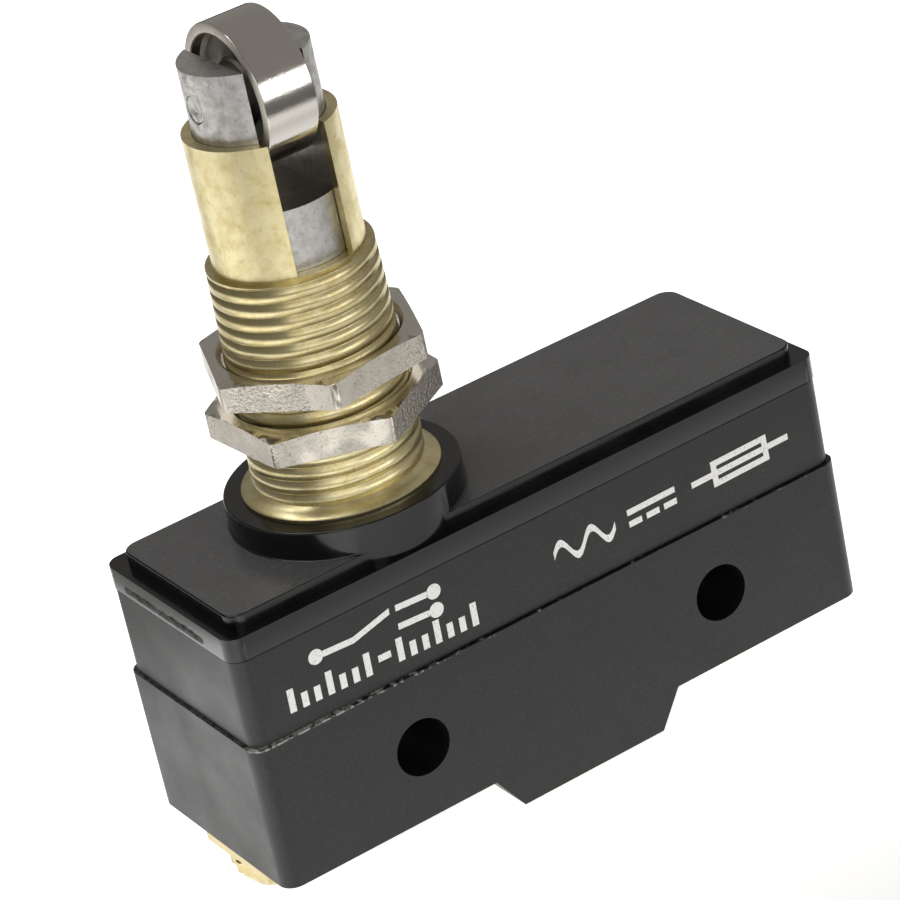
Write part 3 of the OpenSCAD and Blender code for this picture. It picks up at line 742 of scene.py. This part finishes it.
class SWITCH_OT_nuts(Operator):
    """Two thin lock nuts with chamfered corners and holes."""

    bl_idname = "switch.nuts"
    bl_label = "Lock Nuts"

    def execute(self, context):
        sizes = settings()[0]
        bore_r, corner_round, edge_round = 6.05, 0.9, 0.14
        for node, body in (("lock_nut_upper", "upper_nut"), ("lock_nut_lower", "lower_nut")):
            bm = from_cad(bmesh.new(), node)
            round_edges(bm, sizes.nut_chamfer / MM, lambda p: off_axis(p) < bore_r + 0.01, 1)
            heart = middle(node).z
            round_edges(
                bm, corner_round, lambda p: off_axis(p) > bore_r + 0.6 and abs(p.z - heart) < 0.3, 5)
            round_edges(bm, edge_round, lambda p: off_axis(p) > bore_r + 0.6, 2)
            # The outer upright faces take the darker nickel, painted shade on the nut sides.
            for face in bm.faces:
                outer = off_axis(face.calc_center_median()) > bore_r + 0.5
                face.material_index = int(abs(face.normal.z) < 0.15 and outer)
            finish(bm, node + "_plated", body, "nut_plate", ["nickel", "nickel_side_shaded"], [node])
        return {"FINISHED"}


# ---------------------------------------------------------------- plunger, pin and roller


class SWITCH_OT_plunger(Operator):
    """Sintered plunger with its fork, and the axle staked in it."""

    bl_idname = "switch.plunger"
    bl_label = "Plunger"

    def execute(self, context):
        sizes = settings()[0]
        bm = from_cad(bmesh.new(), "roller_plunger")
        round_edges(bm, sizes.fork_round / MM, lambda p: p.z > AXIS.z + 0.7 or 38 < p.z < AXIS.z - 1.2)
        round_edges(bm, 0.2, lambda p: p.z < 27.2)
        # The fork floor under the roller takes the dark recess steel, as painted shade.
        for face in bm.faces:
            face.material_index = int(face.normal.z > 0.5 and face.calc_center_median().z < AXIS.z - 3)
        finish(
            bm, "plunger_sintered", "plunger", "plunger_steel", ["sinter", "painted_recess_shade"],
            ["roller_plunger"])
        a, b = low("roller_pin"), high("roller_pin")
        half, r = (b.x - a.x) / 2, (b.z - a.z) / 2
        bm = bmesh.new()
        ring = lathe(bm, [
            (0, -half + 0.1), (0.3, -half + 0.08), (0.5, -half), (r - 0.12, -half + 0.02), (r, -half + 0.14),
            (r, half - 0.14), (r - 0.12, half - 0.02), (0.5, half), (0.3, half - 0.08), (0, half - 0.1)], 48)
        move(bm, ring, Matrix.Translation(AXIS) @ Matrix.Rotation(pi / 2, 4, "Y"))
        finish(bm, "axle_staked", "plunger", "roller_steel", ["sinter"], ["roller_pin"])
        return {"FINISHED"}


class SWITCH_OT_roller(Operator):
    """Steel roller with a thin rim around a recessed web and hub."""

    bl_idname = "switch.roller"
    bl_label = "Roller"

    def execute(self, context):
        a, b = low("roller"), high("roller")
        inset = 0.003
        half, r = (b.x - a.x) / 2, (b.z - a.z) / 2 - inset
        rim, web, hub, bore, edge = r - 0.75, half - 0.95, 2.1, 1.05, 0.07
        right = [
            (bore, half - edge), (bore + edge, half), (hub - edge, half), (hub, half - edge),
            (hub + 0.1, web + 0.2),
            (hub + 0.3, web), (rim - 0.3, web), (rim - 0.06, web + 0.25), (rim, half - edge),
            (rim + edge, half),
            (r - 2 * edge, half), (r - edge / 2, half - edge / 2), (r, half - 2 * edge)]
        profile = right + [(radius, -height) for radius, height in reversed(right)]
        bm = bmesh.new()
        ring = lathe(bm, profile, 160)
        # Faces inside the rim take the dark recess steel, as painted shade in the roller's recess.
        for face in bm.faces:
            centre = face.calc_center_median()
            inside = sqrt(centre.x ** 2 + centre.y ** 2) < rim + edge / 2
            face.material_index = 1 if inside else 2 * int(abs(face.normal.z) > 0.5)
        move(bm, ring, Matrix.Translation(AXIS) @ Matrix.Rotation(pi / 2, 4, "Y"))
        finish(
            bm, "roller_ground", "roller", "roller_steel", ["roller", "painted_recess_shade", "roller_side"],
            ["roller"], 26)
        return {"FINISHED"}


# ---------------------------------------------------------------- springs and snap mechanism


class SWITCH_OT_springs(Operator):
    """Return spring around the sleeve's bore and overtravel spring in the plunger."""

    bl_idname = "switch.springs"
    bl_label = "Springs"

    def execute(self, context):
        facets = settings()[0].wire_steps
        rows = (
            ("return_spring", "case", 4.2, 5, 0.58),
            ("overtravel_spring", "pin", 2.5, 11, 0.8),
        )
        for node, body, mean_r, turns, keep in rows:
            a, b = low(node), high(node)
            bm = bmesh.new()
            wind_spring(bm, mean_r, 0.3, a.z, b.z, turns, facets)
            move(bm, bm.verts, Matrix.Translation((AXIS.x, 0, 0)))
            piece = finish(bm, node + "_wound", body, "spring_steel", ["spring"], [node], weighted=False)
            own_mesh(piece)
        return {"FINISHED"}


class SWITCH_OT_mechanism(Operator):
    """Pin plunger, spring seat, snap blade and contacts inside the case."""

    bl_idname = "switch.mechanism"
    bl_label = "Snap Mechanism"

    def execute(self, context):
        rows = (
            ("pin_plunger", "pin", "pin_plastic", "pin", 0.2),
            ("spring_seat", "pin", "terminal_brass", "strip", 0.06),
            ("blade_anchor", "case", "terminal_brass", "strip", 0.06),
            ("blade_post", "case", "terminal_brass", "strip", 0.1),
            ("blade_rivet", "case", "terminal_brass", "strip", 0.12),
            ("snap_blade", "blade", "blade_copper", "copper", 0.03),
            ("moving_contact", "blade", "contact_silver", "silver", 0.12),
            ("nc_contact", "case", "contact_silver", "silver", 0.12),
            ("no_contact", "case", "contact_silver", "silver", 0.12),
        )
        for node, body, slot, key, radius in rows:
            bm = from_cad(bmesh.new(), node)
            round_edges(bm, radius, lambda p: True, 2)
            finish(bm, node + "_detail", body, slot, [key], [node])
        return {"FINISHED"}


# ---------------------------------------------------------------- terminals


class SWITCH_OT_terminals(Operator):
    """Stamped terminals, slotted screws and clamp washers."""

    bl_idname = "switch.terminals"
    bl_label = "Terminals"

    def execute(self, context):
        sizes = settings()[0]
        edge = sizes.metal_round / MM
        for way in ("com", "nc", "no"):
            node = way + "_terminal"
            bm = from_cad(bmesh.new(), node)
            round_edges(bm, edge, lambda p: True, 2)
            finish(bm, node + "_stamped", "case", "terminal_brass", ["strip"], [node])
            self.screw(way, sizes)
            self.washer(way, edge)
        return {"FINISHED"}

    def screw(self, way, sizes):
        """Pan head from the CAD shape, with a cut thread on its shank."""
        node = way + "_screw"
        a, b = low(node), high(node)
        centre = middle(node)
        head_h, shank_r = 1.7, 1.95
        neck = a.z + head_h
        bm = from_cad(bmesh.new(), node)
        bmesh.ops.bisect_plane(
            bm, geom=[*bm.verts, *bm.edges, *bm.faces], dist=1e-5, plane_co=(0, 0, neck + 0.3),
            plane_no=(0, 0, 1), clear_outer=True)
        rim = [e for e in bm.edges if e.is_boundary]
        bmesh.ops.triangle_fill(bm, edges=rim, use_beauty=True, use_dissolve=False)
        outward(bm, bm.verts)
        head_r = (b.x - a.x) / 2

        def dome(p):
            away = sqrt((p.x - centre.x) ** 2 + p.y ** 2)
            return away > head_r - 1 and p.z > a.z + 0.4 and p.z < neck - 0.5

        round_edges(bm, 0.5, dome, 4)
        round_edges(bm, sizes.metal_round / MM, lambda p: p.z < neck + 0.05, 2)
        self.serrate(bm, centre.x, head_r)
        old = set(bm.verts)
        threaded_rod(bm, shank_r, 0.4, sizes.screw_pitch / MM, 0.2, neck + 0.1, b.z - 0.3, (), 40)
        lathe(bm, [(0, b.z), (1.2, b.z), (1.56, b.z - 0.31), (0, b.z - 0.31)], 40)
        move(bm, [v for v in bm.verts if v not in old], Matrix.Translation((centre.x, 0, 0)))
        finish(bm, node + "_turned", way + "_clamp", "screw_brass", ["strip"], [node])

    def serrate(self, bm, x, head_r):
        """Rounded teeth around the rim of a head."""
        teeth, depth, reach = 12, 0.42, 1.3
        for v in bm.verts:
            away = sqrt((v.co.x - x) ** 2 + v.co.y ** 2)
            share = min(1.0, max(0.0, (away - head_r + reach) / reach))
            dip = depth * share * abs(sin(teeth / 2 * atan2(v.co.y, v.co.x - x))) ** 0.6
            v.co.x -= (v.co.x - x) / max(away, 0.1) * dip
            v.co.y -= v.co.y / max(away, 0.1) * dip

    def washer(self, way, edge):
        """Clamp washer that rides with its screw."""
        node = way + "_washer"
        bm = from_cad(bmesh.new(), node)
        round_edges(bm, edge, lambda p: True, 2)
        finish(bm, node + "_pressed", way + "_clamp", "terminal_brass", ["strip"], [node])


# ---------------------------------------------------------------- printed marks


def stroke(bm, points, across, thick):
    """One printed line: a chain of (x, z) points swept by the vector across, then thickened towards -Y."""
    chain = [bm.verts.new((x, 0, z)) for x, z in points]
    edges = [bm.edges.new(pair) for pair in zip(chain, chain[1:])]
    swept = bmesh.ops.extrude_edge_only(bm, edges=edges)["geom"]
    ends = [g for g in swept if isinstance(g, bmesh.types.BMVert)]
    bmesh.ops.translate(bm, vec=(across[0], 0, across[1]), verts=ends)
    faces = [g for g in swept if isinstance(g, bmesh.types.BMFace)]
    thicken(bm, faces, chain + ends, thick)


def thicken(bm, faces, verts, thick):
    """Gives a flat figure its thickness of ink and closes it."""
    grown = bmesh.ops.extrude_face_region(bm, geom=faces, use_keep_orig=True)["geom"]
    front = [g for g in grown if isinstance(g, bmesh.types.BMVert)]
    bmesh.ops.translate(bm, vec=(0, -thick, 0), verts=front)
    outward(bm, list(verts) + front)


def dot(bm, x, z, radius, thick):
    """A printed dot."""
    verts = bmesh.ops.create_circle(bm, cap_ends=True, segments=28, radius=radius)["verts"]
    faces = list({f for v in verts for f in v.link_faces})
    move(bm, verts, Matrix.Translation((x, 0, z)) @ Matrix.Rotation(pi / 2, 4, "X"))
    thicken(bm, faces, verts, thick)


class SWITCH_OT_marks(Operator):
    """White contact diagram, position scale and alternating current sign printed on the housing."""

    bl_idname = "switch.marks"
    bl_label = "Printed Marks"

    def execute(self, context):
        ink = 0.02
        face_y = low("middle_housing").y
        bm = bmesh.new()
        self.contact_diagram(bm, ink)
        self.position_scale(bm, ink)
        self.current_sign(bm, ink)
        move(bm, bm.verts, Matrix.Translation((0, face_y + 0.004, 0)))
        finish(bm, "printed_marks", "case", "base_plastic", ["ink"], weighted=False)
        return {"FINISHED"}

    def placed(self, bm, old, x, z, slope):
        """Sets the figures drawn since old at a place on the face, with a slope."""
        new = [v for v in bm.verts if v not in old]
        move(bm, new, Matrix.Translation((x, 0, z)) @ Matrix.Rotation(slope, 4, "Y"))

    def contact_diagram(self, bm, ink):
        """Changeover contact: a lever from the common terminal towards one of two fixed ones."""
        old = set(bm.verts)
        line, r = 0.46, 0.56
        dot(bm, r, 0.8, r, ink)
        stroke(bm, [(2 * r, 0.8 - line / 2), (3.5, 0.8 - line / 2), (6.5, 1.5)], (0, line), ink)
        for height in (0.1, 1.5):
            stroke(bm, [(7.0, height), (9.5, height)], (0, line), ink)
            dot(bm, 9.5 + r, height + line / 2, r, ink)
        self.placed(bm, old, -19.4, 9.3, radians(2.9))

    def position_scale(self, bm, ink):
        """Row of bars, like a ruler's, with a dash between its halves."""
        old = set(bm.verts)
        x, bar_w = 0.0, 0.5
        for dash_after in (True, False):
            for bar in range(7):
                stroke(bm, [(x, 0), (x, 1.75 if bar % 3 == 0 else 1.1)], (bar_w, 0), ink)
                x += 1.0
            x += 0.1
            if dash_after:
                stroke(bm, [(x, 0.65), (x + 1.0, 0.65)], (0, bar_w), ink)
            x += 1.5
        self.placed(bm, old, -21.5, 7.0, radians(1.5))

    def current_sign(self, bm, ink):
        """Signs for alternating current, direct current and a fuse."""
        old = set(bm.verts)
        line = 0.46
        wave = [(5.2 * i / 48, 0.8 + 0.72 * sin(4 * pi * i / 48)) for i in range(49)]
        stroke(bm, wave, (0, line + 0.12), ink)
        stroke(bm, [(6.3, 1.25), (10.4, 1.25)], (0, line), ink)
        for start in (6.3, 7.8, 9.3):
            stroke(bm, [(start, 0.35), (start + 1.1, 0.35)], (0, line), ink)
        left, right, foot, top = 13.6, 18.5, 0.05, 2.05
        middle_z = (foot + top - line) / 2
        for start, end in ((11.8, left), (left + line, right - line), (right, 20.3)):
            stroke(bm, [(start, middle_z), (end, middle_z)], (0, line), ink)
        for height in (foot, top - line):
            stroke(bm, [(left + line, height), (right - line, height)], (0, line), ink)
        for side in (left, right - line):
            stroke(bm, [(side, foot), (side, top)], (line, 0), ink)
        self.placed(bm, old, 0.3, 7.6, radians(-0.8))


# ---------------------------------------------------------------- stage


class SWITCH_OT_stage(Operator):
    """Pale floor, soft lights and the camera."""

    bl_idname = "switch.stage"
    bl_label = "Studio"

    def execute(self, context):
        stage = settings()[2]
        self.floor(cad_box[0].z)
        self.world()
        self.softbox("overhead_softbox", (-0.25, 0.15, 0.75), (0, 0, 0.01), 0.5, 0.5, stage.key_power)
        self.softbox("front_softbox", (0.22, -0.62, 0.12), (0, 0, 0.04), 0.5, 0.3, stage.front_power)
        self.softbox("left_softbox", (-0.28, -0.52, 0.27), (0, 0, 0.03), 0.5, 0.4, stage.left_power)
        self.camera(stage)
        bpy.context.scene.view_settings.view_transform = "Standard"
        return {"FINISHED"}

    def floor(self, z):
        """White paper under the switch with a painted pool of light: it glows where the metal mirrors it, turns
        grey beyond the pool and has a painted shade at the back left.
        """
        bm = bmesh.new()
        bmesh.ops.create_grid(bm, x_segments=8, y_segments=8, size=1.5)
        bmesh.ops.translate(bm, vec=(0, 0, z), verts=bm.verts)
        mesh = bpy.data.meshes.new("studio_floor")
        bm.to_mesh(mesh)
        bm.free()
        floor = bpy.data.objects.new("studio_floor", mesh)
        bpy.context.scene.collection.objects.link(floor)
        # Matt white paper, pale, with a painted glow that lifts the shadows and changes across the floor
        material, tree, shader, place = start_material(
            "paper_white_painted_glow", **{"Roughness": 0.9, "Emission Color": (1, 1, 1, 1)})
        middle_x, middle_y, half_x, half_y = -20.0, 60.0, 150.0, 170.0
        # Painted pool of light: pale paper and glow inside an ellipse, grey paper beyond it.
        inside = add(tree, "ShaderNodeMapping", {
            "Vector": place, "Location": (-middle_x / half_x, -middle_y / half_y, 0),
            "Scale": (1 / half_x, 1 / half_y, 0)})
        away = add(tree, "ShaderNodeVectorMath", {0: inside.outputs["Vector"]}, operation="LENGTH")
        lit = add(tree, "ShaderNodeMapRange", {
            "Value": away.outputs["Value"], "From Min": 0.9, "From Max": 1.16, "To Min": 1.0, "To Max": 0.0},
            interpolation_type="SMOOTHSTEP")
        paper = add(tree, "ShaderNodeMixRGB", {
            "Fac": lit.outputs["Result"], "Color1": rgba(linear("#848280")),
            "Color2": rgba(settings()[1].floor)})
        parts = add(tree, "ShaderNodeSeparateXYZ", {"Vector": place})
        near = add(tree, "ShaderNodeMapRange", {
            "Value": parts.outputs["Y"], "From Min": -50.0, "From Max": 5.0, "To Min": 0.28, "To Max": 0.88},
            interpolation_type="SMOOTHSTEP")
        front = add(tree, "ShaderNodeMapRange", {
            "Value": parts.outputs["Y"], "From Min": -45.0, "From Max": -75.0, "To Min": 0.0, "To Max": 0.7},
            interpolation_type="SMOOTHSTEP")
        left = add(tree, "ShaderNodeMapRange", {
            "Value": parts.outputs["X"], "From Min": 60.0, "From Max": -30.0, "To Min": 0.0, "To Max": 1.0})
        front = add(tree, "ShaderNodeMath", {
            0: front.outputs["Result"], 1: left.outputs["Result"]}, operation="MULTIPLY")
        beside = add(tree, "ShaderNodeMapRange", {
            "Value": parts.outputs["X"], "From Min": -32.0, "From Max": -46.0, "To Min": 0.0, "To Max": 0.9})
        beyond = add(tree, "ShaderNodeMapRange", {
            "Value": parts.outputs["X"], "From Min": -55.0, "From Max": -80.0, "To Min": 1.0, "To Max": 0.0},
            interpolation_type="SMOOTHSTEP")
        beside = add(tree, "ShaderNodeMath", {
            0: beside.outputs["Result"], 1: beyond.outputs["Result"]}, operation="MULTIPLY")
        glow = add(tree, "ShaderNodeMath", {
            0: near.outputs["Result"], 1: front.outputs["Value"]}, operation="ADD")
        glow = add(tree, "ShaderNodeMath", {
            0: glow.outputs["Value"], 1: beside.outputs["Value"]}, operation="ADD")
        # Painted shade: a dimmer patch of floor at the back left.
        corner_x = add(tree, "ShaderNodeMapRange", {
            "Value": parts.outputs["X"], "From Min": -24.0, "From Max": -35.0, "To Min": 0.0, "To Max": 0.95},
            interpolation_type="SMOOTHSTEP")
        corner_y = add(tree, "ShaderNodeMapRange", {
            "Value": parts.outputs["Y"], "From Min": 26.0, "From Max": 40.0, "To Min": 0.0, "To Max": 1.0},
            interpolation_type="SMOOTHSTEP")
        corner_x = add(tree, "ShaderNodeMath", {
            0: corner_x.outputs["Result"], 1: beyond.outputs["Result"]}, operation="MULTIPLY")
        corner = add(tree, "ShaderNodeMath", {
            0: corner_x.outputs["Value"], 1: corner_y.outputs["Result"]}, operation="MULTIPLY")
        open_part = add(tree, "ShaderNodeMath", {0: 1.0, 1: corner.outputs["Value"]}, operation="SUBTRACT")
        lit = add(tree, "ShaderNodeMath", {
            0: lit.outputs["Result"], 1: open_part.outputs["Value"]}, operation="MULTIPLY")
        glow = add(tree, "ShaderNodeMath", {
            0: glow.outputs["Value"], 1: lit.outputs["Value"]}, operation="MULTIPLY")
        tree.links.new(paper.outputs["Color"], shader.inputs["Base Color"])
        tree.links.new(glow.outputs["Value"], shader.inputs["Emission Strength"])
        mesh.materials.append(material)

    def world(self):
        """Dim room, brighter towards the front of the horizon, where a white wall stands."""
        world = bpy.data.worlds.new("studio_room")
        bpy.context.scene.world = world
        world.use_nodes = True
        tree = world.node_tree
        tree.nodes.clear()
        way = add(tree, "ShaderNodeTexCoord").outputs["Generated"]
        parts = add(tree, "ShaderNodeSeparateXYZ", {"Vector": way})
        right = add(tree, "ShaderNodeMapRange", {
            "Value": parts.outputs["X"], "From Min": -0.4, "From Max": 0.7, "To Min": 0.16, "To Max": 0.32})
        background = add(tree, "ShaderNodeBackground", {
            "Color": (1, 0.96, 0.91, 1), "Strength": right.outputs["Result"]})
        add(tree, "ShaderNodeOutputWorld", {"Surface": background.outputs["Background"]})

    def softbox(self, name, place, target, width, height, power):
        """A rectangular area light aimed at a point."""
        light = bpy.data.lights.new(name, "AREA")
        light.shape = "RECTANGLE"
        light.size, light.size_y = width, height
        light.energy = power
        lamp = bpy.data.objects.new(name, light)
        lamp.location = place
        lamp.rotation_euler = (Vector(target) - Vector(place)).to_track_quat("-Z", "Y").to_euler()
        bpy.context.scene.collection.objects.link(lamp)

    def camera(self, stage):
        """Camera from its place and three angles."""
        a, e, r = stage.azimuth, stage.elevation, stage.roll
        back = Vector((sin(a) * cos(e), -cos(a) * cos(e), sin(e)))
        level = Vector((cos(a), sin(a), 0))
        upright = back.cross(level)
        right = level * cos(r) - upright * sin(r)
        up = back.cross(right)
        data = bpy.data.cameras.new("studio_camera")
        data.lens = stage.lens
        data.sensor_width = 36
        data.clip_start, data.clip_end = 0.01, 10
        camera = bpy.data.objects.new("studio_camera", data)
        turned = Matrix((right, up, back)).transposed().to_4x4()
        camera.matrix_world = Matrix.Translation(stage.camera_place) @ turned
        bpy.context.scene.collection.objects.link(camera)
        bpy.context.scene.camera = camera


class SWITCH_PT_panel(Panel):
    """Sizes, colours and build steps of the limit switch."""

    bl_idname = "SWITCH_PT_panel"
    bl_label = "Limit Switch"
    bl_space_type = "VIEW_3D"
    bl_region_type = "UI"
    bl_category = "Limit Switch"

    def draw(self, context):
        for group in settings():
            box = self.layout.box()
            for name in group.bl_rna.properties.keys():
                if name not in ("rna_type", "name"):
                    box.prop(group, name)
        for step in STEPS:
            self.layout.operator(step.bl_idname)


STEPS = (
    SWITCH_OT_case, SWITCH_OT_rivets, SWITCH_OT_sleeve, SWITCH_OT_nuts, SWITCH_OT_plunger, SWITCH_OT_roller,
    SWITCH_OT_springs, SWITCH_OT_mechanism, SWITCH_OT_terminals, SWITCH_OT_marks, SWITCH_OT_stage,
)
CLASSES = (SwitchSizes, SwitchColours, SwitchStage, *STEPS, SWITCH_PT_panel)


def register():
    for cls in CLASSES:
        bpy.utils.register_class(cls)
    bpy.types.Scene.switch_sizes = PointerProperty(type=SwitchSizes)
    bpy.types.Scene.switch_colours = PointerProperty(type=SwitchColours)
    bpy.types.Scene.switch_stage = PointerProperty(type=SwitchStage)


def unregister():
    del bpy.types.Scene.switch_stage
    del bpy.types.Scene.switch_colours
    del bpy.types.Scene.switch_sizes
    for cls in reversed(CLASSES):
        bpy.utils.unregister_class(cls)


def main():
    register()
    finishes.update(make_materials())
    for step in STEPS:
        area, name = step.bl_idname.split(".")
        getattr(getattr(bpy.ops, area), name)()


if __name__ == "__main__":
    main()
